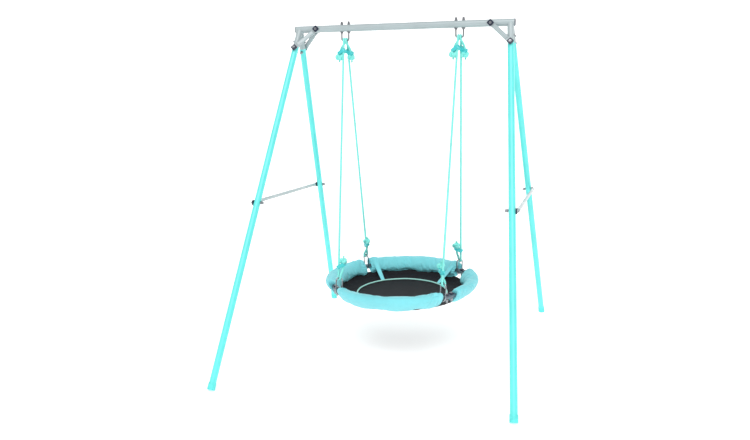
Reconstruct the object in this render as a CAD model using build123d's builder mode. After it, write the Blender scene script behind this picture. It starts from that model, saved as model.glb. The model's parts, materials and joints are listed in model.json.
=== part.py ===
from build123d import *
import os
from math import cos, radians, sin

os.makedirs("parts", exist_ok=True)

# A garden nest swing: an A-frame of four tube legs and a top beam, and a round
# seat on four ropes. Origin on the ground under the middle of the seat, X along
# the beam, Z up. Sides: -X is left, -Y is front.

# Driving dimensions, in millimetres
BEAM_Z = 1956
BEAM_RADIUS = 21
FRAME_LENGTH = 1334
LEG_RADIUS = 19
LEG_TOP_X = 639
LEG_GROUND_X = 798
LEG_GROUND_Y = 1001
SPREADER_Z = 950
HANGER_X = 348
PIVOT_Z = 1883
RING_RADIUS = 425
RING_Z = 415
SEAT_TILT = 3.5
ROPE_RADIUS = 6
HOOK_ANGLES = {(1, 1): 42.5, (-1, 1): 137.5, (-1, -1): 222.5, (1, -1): 317.5}

# Clearances
GAP = 0.3
HOLE_PLAY = 0.2
SLIDE_FIT = 0.1
CAP_FIT = 0.05
ROUTE_TRIM = 0.4

SIDES = {"left": -1, "right": 1}
ENDS = {"front": -1, "rear": 1}
CORNERS = [(end, side) for end in ENDS for side in SIDES]

# Beam and corner fittings
BEAM_WALL = 1.8
JOINT_X = 505
SPIGOT_LENGTH = 70
END_CAP_THICKNESS = 4
END_CAP_EDGE = 1.5
END_PLUG_LENGTH = 18
BEAM_BOLT_X = 528
U_BOLT_HALF_WIDTH = 22
U_BOLT_RADIUS = 5
U_BOLT_CORNER = 9

# Legs
LEG_WALL = 1.6
LEG_TOP_AT = 122
LEG_BOLT_AT = 138
CROSS_SCREW_AT = 82
FOOT_CAP_RADIUS = 21.4
FOOT_CAP_HEIGHT = 38
FOOT_CAP_FLOOR = 5
FOOT_FLAT_DEPTH = 5

# Bolts and saddle caps
BOLT_RADIUS = 4
BOLT_HOLE = 4.2
HEAD_RADIUS = 8
HEAD_HEIGHT = 6
HEAD_RIM = 3
CAP_SIDE = 31
CAP_THICKNESS = 7
CAP_CORNER = 5
PAD_THICKNESS = 4.5
NUT_RADIUS = 9.4
NUT_HEIGHT = 9
DOME_HEIGHT = 9
DOME_INSET = 2
FLANGE_RADIUS = 11
FLANGE_THICKNESS = 2
SCREW_RADIUS = 3
SCREW_HEAD = 5
SCREW_HEAD_RADIUS = 5.5
TOUCH = 0.2
LEAN_TOUCH = 1.4
BORE_REACH = 40

# Braces and spreader bars
BRACE_WIDTH = 27
BRACE_DEPTH = 15
BRACE_PAD = 15
SPREADER_RADIUS = 10
SADDLE_THICKNESS = 6
SADDLE_SIDE = 30
SPREADER_FLAT = 32

# Snap hooks
HOOK_WIRE = 4
HOOK_HALF_WIDTH = 20
HOOK_STRAIGHT = 60
HOOK_TWIST = 13
HOOK_REST = 0.6
GATE_START = 7
GATE_LENGTH = 46
GATE_RADIUS = 3.6
TONGUE_RADIUS = 3.5
TONGUE_HALF = 1.6
CHEEK_THICKNESS = 2
CHEEK_OVERLAP = 3
RIVET_RADIUS = 1.5
RIVET_PLAY = 0.06

# Ropes and adjusters
ROPE_SPREAD = 6.5
WRAP_RADIUS = ROPE_RADIUS + U_BOLT_RADIUS + GAP
RETURN_OFFSET = 25
ADJUSTER_LENGTH = 54
ADJUSTER_WIDTH = 24
ADJUSTER_THICKNESS = 17
ADJUSTER_TILT = 28
ADJUSTER_AT = 72
TAIL_START = 55
TAIL_END = 93
TAIL_BEND = 36
KNOT_RADIUS = 12.5
KNOT_DEPTH = 10
KNOT_TAIL = 34

# Seat
RING_TUBE_RADIUS = 12.5
RING_TUBE_WALL = 1.5
SEAM_ANGLE = 36
RING_JOINT_ANGLE = 4.5
RING_BOLT_ANGLE = 2.5
RING_BOLT_RADIUS = 3
RING_CAP_SIDE = 25
RING_CAP_THICKNESS = 7
RING_HEAD_RADIUS = 6.5
RING_HEAD_HEIGHT = 4
SEAM_GAP_ANGLE = 0.1
SLEEVE_START = 48
SIDE_SLEEVE_END = 29
LONG_SIDE_SLEEVE_END = 39.7
POCKET_END = 31
POCKET_CAP_HALF = 13.5
POCKET_NUT_HALF = 10.5
POCKET_ABOVE = 24.5
POCKET_BELOW = 31.5
SLEEVE_LONG = 64
SLEEVE_SHORT = 32
SLEEVE_LEAN = 40
SLEEVE_Z = 412
SLEEVE_RADIUS = 423
MAT_RADIUS = 289
MAT_Z = 337
MAT_THICKNESS = 3
WALL_TOP_RADIUS = 400
WALL_TOP_Z = 355.5
BINDING_RADIUS = 4.6
STRAP_WIDTH_ANGLE = 5.2
STRAP_THICKNESS = 2.4
STRAP_LEAVES_AT = 112
STRAP_STEPS = 8
STRAP_FOOT_RADIUS = 291
STRAP_FOOT_Z = 342.6


def save(builder, name):
    """Label a finished piece and write it as its own STEP file."""
    builder.part.label = name
    export_step(builder.part, f"parts/{name}.step")


def tilt(point):
    """A point of the level seat, moved to where it hangs with its front edge lower."""
    y, z = point.Y, point.Z - RING_Z
    lean_cos, lean_sin = cos(radians(SEAT_TILT)), sin(radians(SEAT_TILT))
    return Vector(point.X, y * lean_cos - z * lean_sin, RING_Z + y * lean_sin + z * lean_cos)


def save_seat(builder, name):
    """Write a piece that is built level, turned to the seat's tilt."""
    with BuildPart() as hung:
        add(builder.part.rotate(Axis((0, 0, RING_Z), (1, 0, 0)), SEAT_TILT))
    save(hung, name)


def corner_sign(end, side):
    return SIDES[side], ENDS[end]


def leg_line(end, side):
    """Top point and downward direction of one leg's centreline."""
    sx, sy = corner_sign(end, side)
    top = Vector(sx * LEG_TOP_X, 0, BEAM_Z)
    ground = Vector(sx * LEG_GROUND_X, sy * LEG_GROUND_Y, 0)
    return top, (ground - top).normalized()


def leg_point(end, side, distance):
    top, direction = leg_line(end, side)
    return top + direction * distance


def leg_length():
    ground = Vector(LEG_GROUND_X - LEG_TOP_X, LEG_GROUND_Y, -BEAM_Z)
    return ground.length


def outward(end, side):
    """Direction square to a leg, away from the frame's middle."""
    direction = leg_line(end, side)[1]
    level = Vector(0, ENDS[end], 0)
    return (level - direction * level.dot(direction)).normalized()


def rod(start, finish, radius, hollow=0):
    """A round bar or tube between two points, inside the open BuildPart."""
    axis = finish - start
    with BuildSketch(Plane(origin=start, z_dir=axis)) as section:
        Circle(radius)
        if hollow:
            Circle(hollow, mode=Mode.SUBTRACT)
    extrude(section.sketch, amount=axis.length)


def bore(start, finish, radius):
    """A round hole between two points, inside the open BuildPart."""
    axis = finish - start
    with BuildSketch(Plane(origin=start, z_dir=axis)) as section:
        Circle(radius)
    extrude(section.sketch, amount=axis.length, mode=Mode.SUBTRACT)


# Beam: a middle tube whose narrowed ends slide into the corner fittings
x_axis = Vector(1, 0, 0)
y_axis = Vector(0, 1, 0)
z_axis = Vector(0, 0, 1)
swage_radius = BEAM_RADIUS - BEAM_WALL - SLIDE_FIT
beam_middle = Vector(0, 0, BEAM_Z)
hanger_legs = [s * HANGER_X + t * U_BOLT_HALF_WIDTH for s in (-1, 1) for t in (-1, 1)]

with BuildPart() as beam:
    rod(beam_middle - x_axis * JOINT_X, beam_middle + x_axis * JOINT_X, BEAM_RADIUS)
    swage_end = x_axis * (JOINT_X + SPIGOT_LENGTH)
    rod(beam_middle - swage_end, beam_middle + swage_end, swage_radius)
    bore(beam_middle - swage_end, beam_middle + swage_end, swage_radius - BEAM_WALL)
    for x in hanger_legs:
        bore(Vector(x, 0, BEAM_Z - BORE_REACH), Vector(x, 0, BEAM_Z + BORE_REACH), U_BOLT_RADIUS + HOLE_PLAY)
    for sx in (-1, 1):
        bolt_middle = Vector(sx * BEAM_BOLT_X, 0, BEAM_Z)
        bore(bolt_middle - y_axis * BORE_REACH, bolt_middle + y_axis * BORE_REACH, BOLT_HOLE)
save(beam, "beam_tube")

# Corner fittings: an end tube with two welded spigots for the legs
for side, sx in SIDES.items():
    tube_end = beam_middle + x_axis * sx * (FRAME_LENGTH / 2 - END_CAP_THICKNESS)
    tube_start = beam_middle + x_axis * sx * (JOINT_X + GAP)
    with BuildPart() as fitting:
        rod(tube_start, tube_end, BEAM_RADIUS)
        for end in ENDS:
            rod(leg_point(end, side, 0), leg_point(end, side, LEG_TOP_AT - GAP), LEG_RADIUS)
            spigot = LEG_RADIUS - LEG_WALL - SLIDE_FIT
            rod(leg_point(end, side, 0), leg_point(end, side, LEG_TOP_AT + SPIGOT_LENGTH), spigot)
        bore(tube_start, tube_end, BEAM_RADIUS - BEAM_WALL)
        for end in ENDS:
            spigot_bore = LEG_RADIUS - 2 * LEG_WALL - SLIDE_FIT
            open_end = LEG_TOP_AT + SPIGOT_LENGTH
            bore(leg_point(end, side, BEAM_RADIUS), leg_point(end, side, open_end), spigot_bore)
            across = outward(end, side) * BORE_REACH
            middle = leg_point(end, side, LEG_BOLT_AT)
            bore(middle - across, middle + across, BOLT_HOLE)
            screw = leg_point(end, side, CROSS_SCREW_AT)
            bore(screw - x_axis * BORE_REACH, screw + x_axis * BORE_REACH, SCREW_RADIUS + HOLE_PLAY)
        bolt_middle = Vector(sx * BEAM_BOLT_X, 0, BEAM_Z)
        bore(bolt_middle - y_axis * BORE_REACH, bolt_middle + y_axis * BORE_REACH, BOLT_HOLE)
    save(fitting, f"corner_fitting_{side}")

# Plugs with a flange close the two ends of the beam
with BuildPart() as end_caps:
    for sx in (-1, 1):
        face = beam_middle + x_axis * sx * (FRAME_LENGTH / 2 - END_CAP_THICKNESS)
        rod(face, face + x_axis * sx * END_CAP_THICKNESS, BEAM_RADIUS)
        rod(face - x_axis * sx * END_PLUG_LENGTH, face, BEAM_RADIUS - BEAM_WALL - SLIDE_FIT)
    outer = end_caps.faces().filter_by(Axis.X).group_by(Axis.X)
    fillet(outer[0].edges() + outer[-1].edges(), END_CAP_EDGE)
save(end_caps, "beam_end_caps")

# Legs with their foot caps, each cap flattened where it stands on the ground
leg_slope = leg_line("front", "left")[1]
level_share = (1 - leg_slope.Z**2) ** 0.5
foot_height = FOOT_CAP_RADIUS * level_share - FOOT_FLAT_DEPTH
foot_at = leg_length() * (1 - foot_height / BEAM_Z)
leg_end_at = foot_at - FOOT_CAP_FLOOR
spreader_at = leg_length() * (1 - SPREADER_Z / BEAM_Z)

for end, side in CORNERS:
    with BuildPart() as leg:
        leg_top = leg_point(end, side, LEG_TOP_AT)
        rod(leg_top, leg_point(end, side, leg_end_at), LEG_RADIUS, LEG_RADIUS - LEG_WALL)
        across = outward(end, side) * BORE_REACH
        middle = leg_point(end, side, LEG_BOLT_AT)
        bore(middle - across, middle + across, BOLT_HOLE)
        middle = leg_point(end, side, spreader_at)
        bore(middle - x_axis * BORE_REACH, middle + x_axis * BORE_REACH, BOLT_HOLE)
    save(leg, f"leg_{end}_{side}")

with BuildPart() as foot_caps:
    for end, side in CORNERS:
        cap_top = leg_point(end, side, foot_at - FOOT_CAP_HEIGHT)
        rod(cap_top, leg_point(end, side, foot_at), FOOT_CAP_RADIUS)
        bore(cap_top, leg_point(end, side, leg_end_at), LEG_RADIUS + CAP_FIT)
    split(bisect_by=Plane.XY, keep=Keep.TOP)
save(foot_caps, "foot_caps")

# Diagonal braces: a flattened pad at each end of an oval tube
beam_pad = BEAM_RADIUS + TOUCH
leg_pad = LEG_RADIUS + TOUCH
beam_bolts = {}
leg_bolts = {}
for end, side in CORNERS:
    level = y_axis * ENDS[end]
    beam_bolts[end, side] = (Vector(SIDES[side] * BEAM_BOLT_X, 0, BEAM_Z), level)
    leg_bolts[end, side] = (leg_point(end, side, LEG_BOLT_AT), outward(end, side))


def brace_pad(middle, normal, towards):
    """A flattened brace end round its bolt, inside the open BuildPart."""
    along = (towards - normal * towards.dot(normal)).normalized()
    with BuildSketch(Plane(origin=middle, x_dir=along, z_dir=normal)) as outline:
        with Locations((BRACE_PAD, 0)):
            SlotCenterToCenter(2 * BRACE_PAD, BRACE_WIDTH)
    extrude(outline.sketch, amount=PAD_THICKNESS)
    return middle + along * (2 * BRACE_PAD) + normal * (PAD_THICKNESS / 2)


for end, side in CORNERS:
    beam_bolt, beam_normal = beam_bolts[end, side]
    leg_bolt, leg_normal = leg_bolts[end, side]
    upper = beam_bolt + beam_normal * beam_pad
    lower = leg_bolt + leg_normal * leg_pad
    with BuildPart() as brace:
        tube_top = brace_pad(upper, beam_normal, lower - upper)
        tube_bottom = brace_pad(lower, leg_normal, upper - lower)
        run = tube_bottom - tube_top
        width_axis = run.cross(beam_normal + leg_normal)
        with BuildSketch(Plane(origin=tube_top, x_dir=width_axis, z_dir=run)) as oval:
            SlotOverall(BRACE_WIDTH, BRACE_DEPTH)
        extrude(oval.sketch, amount=run.length)
        bore(beam_bolt, beam_bolt + beam_normal * BORE_REACH, BOLT_HOLE)
        bore(leg_bolt, leg_bolt + leg_normal * BORE_REACH, BOLT_HOLE)
    save(brace, f"brace_{end}_{side}")

# Square plastic caps, turned corner up, between the braces and the bolt heads
with BuildPart() as brace_caps:
    for bolts, pad in ((beam_bolts, beam_pad), (leg_bolts, leg_pad)):
        for centre, normal in bolts.values():
            face = centre + normal * (pad + PAD_THICKNESS)
            with BuildSketch(Plane(origin=face, x_dir=x_axis, z_dir=normal)) as square:
                RectangleRounded(CAP_SIDE, CAP_SIDE, CAP_CORNER, rotation=45)
                Circle(BOLT_HOLE, mode=Mode.SUBTRACT)
            extrude(square.sketch, amount=CAP_THICKNESS)
save(brace_caps, "brace_caps")


def bolt(face, normal, grip):
    """A bolt with its head on a face and its shank going in, inside the open BuildPart."""
    rod(face, face + normal * HEAD_RIM, HEAD_RADIUS)
    rod(face + normal * HEAD_RIM, face + normal * HEAD_HEIGHT, HEAD_RADIUS - HEAD_RIM)
    rod(face, face - normal * grip, BOLT_RADIUS)


def dome_nut(face, normal, shank_radius):
    """A domed hexagon nut on a face, with a blind hole for the thread."""
    with BuildSketch(Plane(origin=face, z_dir=normal)) as hexagon:
        RegularPolygon(NUT_RADIUS, 6)
    extrude(hexagon.sketch, amount=NUT_HEIGHT)
    rod(face, face + normal * (NUT_HEIGHT + DOME_HEIGHT), NUT_RADIUS - DOME_INSET)
    bore(face, face + normal * (NUT_HEIGHT + DOME_HEIGHT / 2), shank_radius + HOLE_PLAY)


# One long bolt through each corner's two braces and the beam
beam_stack = beam_pad + PAD_THICKNESS + CAP_THICKNESS
with BuildPart() as beam_bolt_set:
    for side in SIDES:
        centre, normal = beam_bolts["front", side]
        bolt(centre + normal * beam_stack, normal, 2 * beam_stack + NUT_HEIGHT)
save(beam_bolt_set, "beam_bolts")

leg_stack = leg_pad + PAD_THICKNESS + CAP_THICKNESS
with BuildPart() as leg_bolt_set:
    for centre, normal in leg_bolts.values():
        bolt(centre + normal * leg_stack, normal, leg_stack + leg_pad + NUT_HEIGHT)
save(leg_bolt_set, "leg_bolts")

with BuildPart() as brace_nuts:
    for side in SIDES:
        centre, normal = beam_bolts["rear", side]
        dome_nut(centre + normal * beam_stack, normal, BOLT_RADIUS)
    for centre, normal in leg_bolts.values():
        dome_nut(centre - normal * leg_pad, -normal, BOLT_RADIUS)
save(brace_nuts, "brace_nuts")

# Small screws across the spigots, just under the beam
with BuildPart() as spigot_screws:
    for end, side in CORNERS:
        level = x_axis * SIDES[side]
        middle = leg_point(end, side, CROSS_SCREW_AT)
        reach = LEG_RADIUS + LEAN_TOUCH
        rod(middle - level * (reach + SCREW_HEAD), middle + level * reach, SCREW_RADIUS)
        rod(middle + level * reach, middle + level * (reach + SCREW_HEAD), SCREW_HEAD_RADIUS)
        rod(middle - level * reach, middle - level * (reach + SCREW_HEAD), SCREW_HEAD_RADIUS)
save(spigot_screws, "spigot_screws")

# Spreader bars on the outer faces of the legs, flattened where they are bolted
leg_x = leg_point("rear", "right", spreader_at).X
leg_y = leg_point("rear", "right", spreader_at).Y
saddle_face = leg_x + LEG_RADIUS + LEAN_TOUCH
bar_face = saddle_face + SADDLE_THICKNESS
bar_x = bar_face + PAD_THICKNESS / 2
tube_half = leg_y - SPREADER_FLAT
for side, sx in SIDES.items():
    bar_middle = Vector(sx * bar_x, 0, SPREADER_Z)
    with BuildPart() as spreader:
        rod(bar_middle - y_axis * tube_half, bar_middle + y_axis * tube_half, SPREADER_RADIUS)
        flat = Plane(origin=(sx * bar_face, 0, SPREADER_Z), x_dir=y_axis, z_dir=x_axis * sx)
        with BuildSketch(flat) as strip:
            SlotCenterToCenter(2 * leg_y, 2 * SPREADER_RADIUS)
        extrude(strip.sketch, amount=PAD_THICKNESS)
        for sy in (-1, 1):
            hole = Vector(sx * bar_face, sy * leg_y, SPREADER_Z)
            bore(hole - x_axis * BORE_REACH, hole + x_axis * BORE_REACH, BOLT_HOLE)
    save(spreader, f"spreader_bar_{side}")

with BuildPart() as spreader_saddles:
    for sx in (-1, 1):
        for sy in (-1, 1):
            face = Plane(origin=(sx * saddle_face, sy * leg_y, SPREADER_Z), x_dir=y_axis, z_dir=x_axis * sx)
            with BuildSketch(face) as square:
                RectangleRounded(SADDLE_SIDE, SADDLE_SIDE, CAP_CORNER)
                Circle(BOLT_HOLE, mode=Mode.SUBTRACT)
            extrude(square.sketch, amount=SADDLE_THICKNESS)
save(spreader_saddles, "spreader_saddles")

inner_face = leg_x - LEG_RADIUS - LEAN_TOUCH
spreader_bolts = [(sx, sy) for sx in (-1, 1) for sy in (-1, 1)]
with BuildPart() as spreader_bolt_set:
    for sx, sy in spreader_bolts:
        head_face = Vector(sx * (bar_face + PAD_THICKNESS), sy * leg_y, SPREADER_Z)
        bolt(head_face, x_axis * sx, head_face.X * sx - inner_face + NUT_HEIGHT)
save(spreader_bolt_set, "spreader_bolts")

with BuildPart() as spreader_nuts:
    for sx, sy in spreader_bolts:
        face = Vector(sx * inner_face, sy * leg_y, SPREADER_Z)
        dome_nut(face, x_axis * -sx, BOLT_RADIUS)
save(spreader_nuts, "spreader_nuts")

# Hangers: a U-bolt through the beam on each side, its bend carries two ropes
bolt_top = BEAM_Z + BEAM_RADIUS + TOUCH
for side, sx in SIDES.items():
    near = sx * HANGER_X - U_BOLT_HALF_WIDTH
    far = sx * HANGER_X + U_BOLT_HALF_WIDTH
    with BuildPart() as u_bolt:
        with BuildLine(Plane.XZ):
            route = [(near, bolt_top + NUT_HEIGHT), (near, PIVOT_Z), (far, PIVOT_Z), (far, bolt_top + NUT_HEIGHT)]
            FilletPolyline(*route, radius=U_BOLT_CORNER)
        with BuildSketch(Plane(origin=(near, 0, bolt_top + NUT_HEIGHT), z_dir=z_axis)):
            Circle(U_BOLT_RADIUS)
        sweep()
    save(u_bolt, f"u_bolt_{side}")

with BuildPart() as hanger_nuts:
    for x in hanger_legs:
        dome_nut(Vector(x, 0, bolt_top), z_axis, U_BOLT_RADIUS)
save(hanger_nuts, "hanger_dome_nuts")

bolt_bottom = BEAM_Z - BEAM_RADIUS - TOUCH
with BuildPart() as flange_nuts:
    for x in hanger_legs:
        face = Vector(x, 0, bolt_bottom)
        with BuildSketch(Plane(origin=face, z_dir=-z_axis)) as hexagon:
            RegularPolygon(NUT_RADIUS, 6)
        extrude(hexagon.sketch, amount=NUT_HEIGHT)
        rod(face, face - z_axis * FLANGE_THICKNESS, FLANGE_RADIUS)
        bore(face, face - z_axis * NUT_HEIGHT, U_BOLT_RADIUS + HOLE_PLAY)
save(flange_nuts, "hanger_flange_nuts")


def ring_vector(angle):
    return Vector(cos(radians(angle)), sin(radians(angle)), 0)


def ring_plane(angle):
    """Upright half-plane through the Z axis, x outwards and y up."""
    out = ring_vector(angle)
    return Plane(origin=(0, 0, 0), x_dir=out, z_dir=out.cross(z_axis))


def hook_frame(end, side):
    """Ring point, direction of pull, hook normal and hook width axis at one corner."""
    sx, sy = corner_sign(end, side)
    angle = HOOK_ANGLES[sx, sy]
    level_seat = ring_vector(angle) * RING_RADIUS + z_axis * RING_Z
    seat = tilt(level_seat)
    pivot = Vector(sx * HANGER_X + sy * ROPE_SPREAD, 0, PIVOT_Z)
    pull = (pivot - seat).normalized()
    tangent = tilt(level_seat + z_axis.cross(ring_vector(angle))) - seat
    normal = (pull * tangent.dot(pull) - tangent).normalized()
    width = pull.cross(normal)
    twist = 0 if sx == sy else HOOK_TWIST
    turned_normal = normal * cos(radians(twist)) + width * sin(radians(twist))
    turned_width = width * cos(radians(twist)) - normal * sin(radians(twist))
    return seat, pull, turned_normal, turned_width


hook_bottom = HOOK_HALF_WIDTH - HOOK_WIRE - RING_TUBE_RADIUS - HOOK_REST
hook_top = hook_bottom + HOOK_STRAIGHT + HOOK_HALF_WIDTH


def rope_points(end, side):
    """Route of one rope: upper tail, over the U-bolt, down, through the hook, lower tail."""
    sx, sy = corner_sign(end, side)
    seat, pull, normal, width = hook_frame(end, side)
    low = seat + pull * hook_top
    high = Vector(sx * HANGER_X + sy * ROPE_SPREAD, 0, PIVOT_Z)
    run = high - low
    rise = Vector(0, run.Y, run.Z).normalized()
    front = Vector(0, rise.Z, -rise.Y) * sy
    aside = x_axis * sy * RETURN_OFFSET
    inward = width * -RETURN_OFFSET
    return [
        high - rise * TAIL_END + aside,
        high - rise * TAIL_START + aside,
        high - rise * WRAP_RADIUS - front * WRAP_RADIUS,
        high + rise * WRAP_RADIUS - front * WRAP_RADIUS,
        high + rise * WRAP_RADIUS + front * WRAP_RADIUS,
        low - pull * WRAP_RADIUS + normal * WRAP_RADIUS,
        low - pull * WRAP_RADIUS - normal * WRAP_RADIUS,
        low + pull * WRAP_RADIUS - normal * WRAP_RADIUS,
        low + pull * TAIL_START + inward,
        low + pull * TAIL_END + inward,
    ]


# Ropes: one length each, looped over the U-bolt above and through the hook below
bend = WRAP_RADIUS - ROUTE_TRIM
rope_radii = [TAIL_BEND, TAIL_BEND, bend, bend, bend, bend, TAIL_BEND, TAIL_BEND]
routes = {}
for end, side in CORNERS:
    points = rope_points(end, side)
    routes[end, side] = points
    with BuildPart() as rope:
        with BuildLine() as route:
            FilletPolyline(*points, radius=rope_radii)
        with BuildSketch(Plane(origin=points[0], z_dir=points[1] - points[0])):
            Circle(ROPE_RADIUS)
        sweep()
    length = route.wires()[0].length
    section = rope.part.volume / length
    print(f"rope_{end}_{side}: length {length:.0f} mm, section {section:.1f} mm2, radii {rope_radii}")
    save(rope, f"rope_{end}_{side}")


def adjuster(held, tail, direction):
    """A tilted plastic bar gripping a rope and its returning end, two holes along the rope."""
    across = (tail - held).normalized()
    long_axis = across * cos(radians(ADJUSTER_TILT)) + direction * sin(radians(ADJUSTER_TILT))
    middle = (held + tail) * 0.5
    thin_axis = long_axis.cross(direction.cross(across)).normalized()
    low_face = Plane(origin=middle - thin_axis * (ADJUSTER_THICKNESS / 2), x_dir=long_axis, z_dir=thin_axis)
    with BuildSketch(low_face) as outline:
        SlotOverall(ADJUSTER_LENGTH, ADJUSTER_WIDTH)
    extrude(outline.sketch, amount=ADJUSTER_THICKNESS)


def along(start, finish, distance):
    return start + (finish - start).normalized() * distance


for name, first, last in (("upper", 0, 9), ("lower", 9, 0)):
    with BuildPart() as adjusters:
        for points in routes.values():
            ordered = points if first == 0 else points[::-1]
            tail_end, tail_start = ordered[0], ordered[1]
            main_start, main_end = ordered[4], ordered[5]
            down = (tail_end - tail_start).normalized()
            held = along(main_start, main_end, ADJUSTER_AT + WRAP_RADIUS)
            tail = along(tail_start, tail_end, ADJUSTER_AT - TAIL_START)
            adjuster(held, tail, down)
            reach = ADJUSTER_LENGTH
            bore(along(held, main_start, reach), along(held, main_end, reach), ROPE_RADIUS + GAP)
            bore(tail - down * reach, tail + down * reach, ROPE_RADIUS + GAP)
    save(adjusters, f"{name}_adjusters")

# A stopper knot with a short tail at each rope end
with BuildPart() as knots:
    for points in routes.values():
        for tail_end, tail_start in ((points[0], points[1]), (points[-1], points[-2])):
            down = (tail_end - tail_start).normalized()
            with Locations(tail_end + down * KNOT_DEPTH):
                Sphere(KNOT_RADIUS)
            bore(tail_end - down * KNOT_RADIUS, tail_end, KNOT_RADIUS)
            rod(tail_end + down * KNOT_DEPTH, tail_end + down * KNOT_TAIL, ROPE_RADIUS - GAP)
save(knots, "rope_knots")

# Snap hooks: an oval of steel wire round the seat ring, closed by a hinged gate
gate_low = hook_bottom + GATE_START
gate_high = gate_low + GATE_LENGTH
hook_frames = {corner: hook_frame(*corner) for corner in CORNERS}
for end, side in CORNERS:
    seat, pull, normal, width = hook_frames[end, side]
    hook_plane = Plane(origin=seat, x_dir=width, z_dir=normal)
    low_end = gate_low - TONGUE_RADIUS - GAP
    with BuildPart() as hook:
        with BuildLine(hook_plane):
            FilletPolyline(
                (HOOK_HALF_WIDTH, gate_high + GAP),
                (HOOK_HALF_WIDTH, hook_top),
                (-HOOK_HALF_WIDTH, hook_top),
                (-HOOK_HALF_WIDTH, hook_bottom - HOOK_HALF_WIDTH),
                (HOOK_HALF_WIDTH, hook_bottom - HOOK_HALF_WIDTH),
                (HOOK_HALF_WIDTH, low_end),
                radius=HOOK_HALF_WIDTH - ROUTE_TRIM,
            )
        nose = hook_plane.from_local_coords((HOOK_HALF_WIDTH, gate_high + GAP, 0))
        with BuildSketch(Plane(origin=nose, z_dir=hook_plane.y_dir)):
            Circle(HOOK_WIRE)
        sweep()
        for face in (TONGUE_HALF + GAP / 2, -TONGUE_HALF - GAP / 2 - CHEEK_THICKNESS):
            with BuildSketch(hook_plane.offset(face)) as cheek:
                with Locations((HOOK_HALF_WIDTH, (low_end - CHEEK_OVERLAP + gate_low) / 2)):
                    Rectangle(2 * TONGUE_RADIUS, gate_low - low_end + CHEEK_OVERLAP)
                with Locations((HOOK_HALF_WIDTH, gate_low)):
                    Circle(TONGUE_RADIUS)
                    Circle(RIVET_RADIUS, mode=Mode.SUBTRACT)
            extrude(cheek.sketch, amount=CHEEK_THICKNESS)
    save(hook, f"snap_hook_{end}_{side}")

    with BuildPart() as gate:
        with BuildSketch(hook_plane.offset(-TONGUE_HALF)) as tongue:
            with Locations((HOOK_HALF_WIDTH, gate_low)):
                Circle(TONGUE_RADIUS)
            with Locations((HOOK_HALF_WIDTH, gate_low + TONGUE_RADIUS)):
                Rectangle(2 * GATE_RADIUS - 1, 2 * TONGUE_RADIUS)
            with Locations((HOOK_HALF_WIDTH, gate_low)):
                Circle(RIVET_RADIUS + RIVET_PLAY, mode=Mode.SUBTRACT)
        extrude(tongue.sketch, amount=2 * TONGUE_HALF)
        bar_low = hook_plane.from_local_coords((HOOK_HALF_WIDTH, gate_low + TONGUE_RADIUS + 1, 0))
        bar_high = hook_plane.from_local_coords((HOOK_HALF_WIDTH, gate_high, 0))
        rod(bar_low, bar_high, GATE_RADIUS)
    save(gate, f"hook_gate_{end}_{side}")

with BuildPart() as rivets:
    for seat, pull, normal, width in hook_frames.values():
        pivot = seat + width * HOOK_HALF_WIDTH + pull * gate_low
        half = normal * (TONGUE_HALF + GAP / 2 + CHEEK_THICKNESS)
        rod(pivot - half, pivot + half, RIVET_RADIUS)
save(rivets, "gate_rivets")

# Seat ring: four bent tubes joined by inner sleeves, a bolt on each side of each seam
seams = {"right": -SEAM_ANGLE, "rear": SEAM_ANGLE, "left": 180 - SEAM_ANGLE, "front": 180 + SEAM_ANGLE}
side_span = 2 * SEAM_ANGLE
arc_spans = {"right": side_span, "rear": 180 - side_span, "left": side_span, "front": 180 - side_span}
bolt_angles = [seam + sign * RING_BOLT_ANGLE for seam in seams.values() for sign in (-1, 1)]


def drill_ring():
    for angle in bolt_angles:
        middle = ring_vector(angle) * RING_RADIUS + z_axis * RING_Z
        bore(middle - z_axis * BORE_REACH, middle + z_axis * BORE_REACH, RING_BOLT_RADIUS + HOLE_PLAY)


for name, start in seams.items():
    with BuildPart() as ring_tube:
        with BuildSketch(ring_plane(start + SEAM_GAP_ANGLE)) as section:
            with Locations((RING_RADIUS, RING_Z)):
                Circle(RING_TUBE_RADIUS)
                Circle(RING_TUBE_RADIUS - RING_TUBE_WALL, mode=Mode.SUBTRACT)
        revolve(section.sketch, axis=Axis.Z, revolution_arc=arc_spans[name] - 2 * SEAM_GAP_ANGLE)
        drill_ring()
    save_seat(ring_tube, f"ring_tube_{name}")

with BuildPart() as ring_joints:
    for seam in seams.values():
        with BuildSketch(ring_plane(seam - RING_JOINT_ANGLE)) as section:
            with Locations((RING_RADIUS, RING_Z)):
                Circle(RING_TUBE_RADIUS - RING_TUBE_WALL - SLIDE_FIT)
                Circle(RING_TUBE_RADIUS - 2 * RING_TUBE_WALL - SLIDE_FIT, mode=Mode.SUBTRACT)
        revolve(section.sketch, axis=Axis.Z, revolution_arc=2 * RING_JOINT_ANGLE)
    drill_ring()
save_seat(ring_joints, "ring_joint_sleeves")

ring_face = RING_TUBE_RADIUS + TOUCH
with BuildPart() as ring_caps:
    for angle in bolt_angles:
        face = ring_vector(angle) * RING_RADIUS + z_axis * (RING_Z + ring_face)
        with BuildSketch(Plane(origin=face, x_dir=ring_vector(angle), z_dir=z_axis)) as square:
            RectangleRounded(RING_CAP_SIDE, RING_CAP_SIDE, CAP_CORNER)
            Circle(RING_BOLT_RADIUS + HOLE_PLAY, mode=Mode.SUBTRACT)
        extrude(square.sketch, amount=RING_CAP_THICKNESS)
save_seat(ring_caps, "ring_bolt_caps")

with BuildPart() as ring_bolts:
    for angle in bolt_angles:
        face = ring_vector(angle) * RING_RADIUS + z_axis * (RING_Z + ring_face + RING_CAP_THICKNESS)
        rod(face, face + z_axis * RING_HEAD_HEIGHT, RING_HEAD_RADIUS)
        rod(face - z_axis * (RING_CAP_THICKNESS + 2 * ring_face + NUT_HEIGHT), face, RING_BOLT_RADIUS)
save_seat(ring_bolts, "ring_bolts")

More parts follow.
